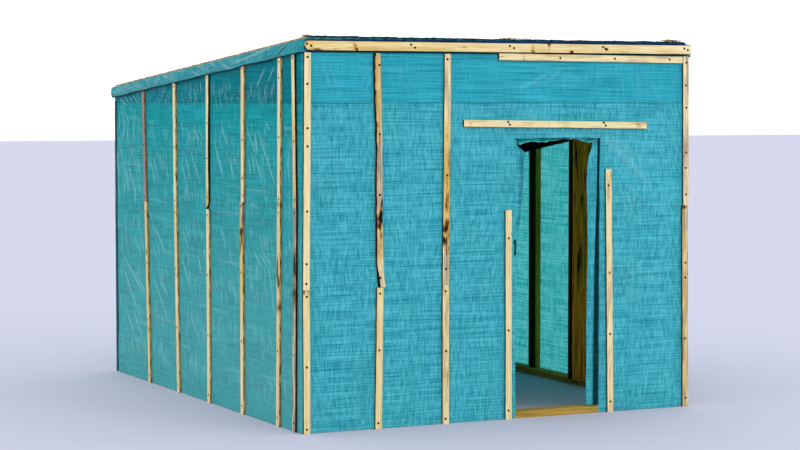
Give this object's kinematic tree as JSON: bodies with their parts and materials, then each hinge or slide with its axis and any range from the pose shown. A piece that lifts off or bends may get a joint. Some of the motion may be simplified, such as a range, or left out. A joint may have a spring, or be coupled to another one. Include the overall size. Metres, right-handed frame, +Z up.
{
  "type": "ice fishing hut",
  "caption": "Lean-to timber-framed ice fishing hut wrapped in teal woven sheet, held on by narrow pale battens, with an open doorway in its high front wall.",
  "frame": {"origin": "on the ground, in the middle of the hut's outline", "axes": "+Z up, -Y out of the front wall with the doorway, +X to the right as seen from the front"},
  "size_m": [2.476, 3.09, 2.1262],
  "materials": {
    "batten_wood": "planed softwood, weathered, with knots and stains",
    "frame_wood": "rough sawn softwood",
    "rough_wood": "rough weathered timber",
    "teal_sheet": "woven coated sheet, creased",
    "navy_sheet": "woven coated sheet"
  },
  "bodies": {
    "root": {"back_battens_lower": "batten_wood", "back_battens_upper": "batten_wood", "back_edge_board": "frame_wood", "back_sheet": "teal_sheet", "back_studs": "frame_wood", "back_top_rail": "frame_wood", "corner_battens": "batten_wood", "corner_posts": "frame_wood", "door_battens": "batten_wood", "door_flap_left": "teal_sheet", "door_flap_right": "teal_sheet", "door_header": "frame_wood", "door_hem": "teal_sheet", "door_studs": "frame_wood", "fascia_board": "batten_wood", "front_back_base_plates": "frame_wood", "front_battens_lower": "batten_wood", "front_battens_upper": "batten_wood", "front_sheet_left": "teal_sheet", "front_sheet_over_door": "teal_sheet", "front_sheet_right": "teal_sheet", "front_studs": "frame_wood", "front_top_rail": "frame_wood", "left_battens_lower": "batten_wood", "left_battens_upper": "batten_wood", "left_sheet": "teal_sheet", "left_studs": "frame_wood", "lintel_batten": "batten_wood", "rafters": "frame_wood", "right_battens_lower": "batten_wood", "right_battens_upper": "batten_wood", "right_sheet": "teal_sheet", "right_studs": "frame_wood", "roof_edge_back": "teal_sheet", "roof_edge_front": "teal_sheet", "roof_edge_left": "teal_sheet", "roof_edge_right": "teal_sheet", "roof_laths": "batten_wood", "roof_sheet": "teal_sheet", "roof_strapping": "frame_wood", "roof_under_sheet": "navy_sheet", "rough_post": "rough_wood", "side_base_plates": "frame_wood", "side_edge_boards": "frame_wood", "side_inner_rails": "frame_wood", "side_top_rails": "frame_wood", "under_fascia_strip": "batten_wood", "wany_batten": "batten_wood"}
  },
  "joints": []
}
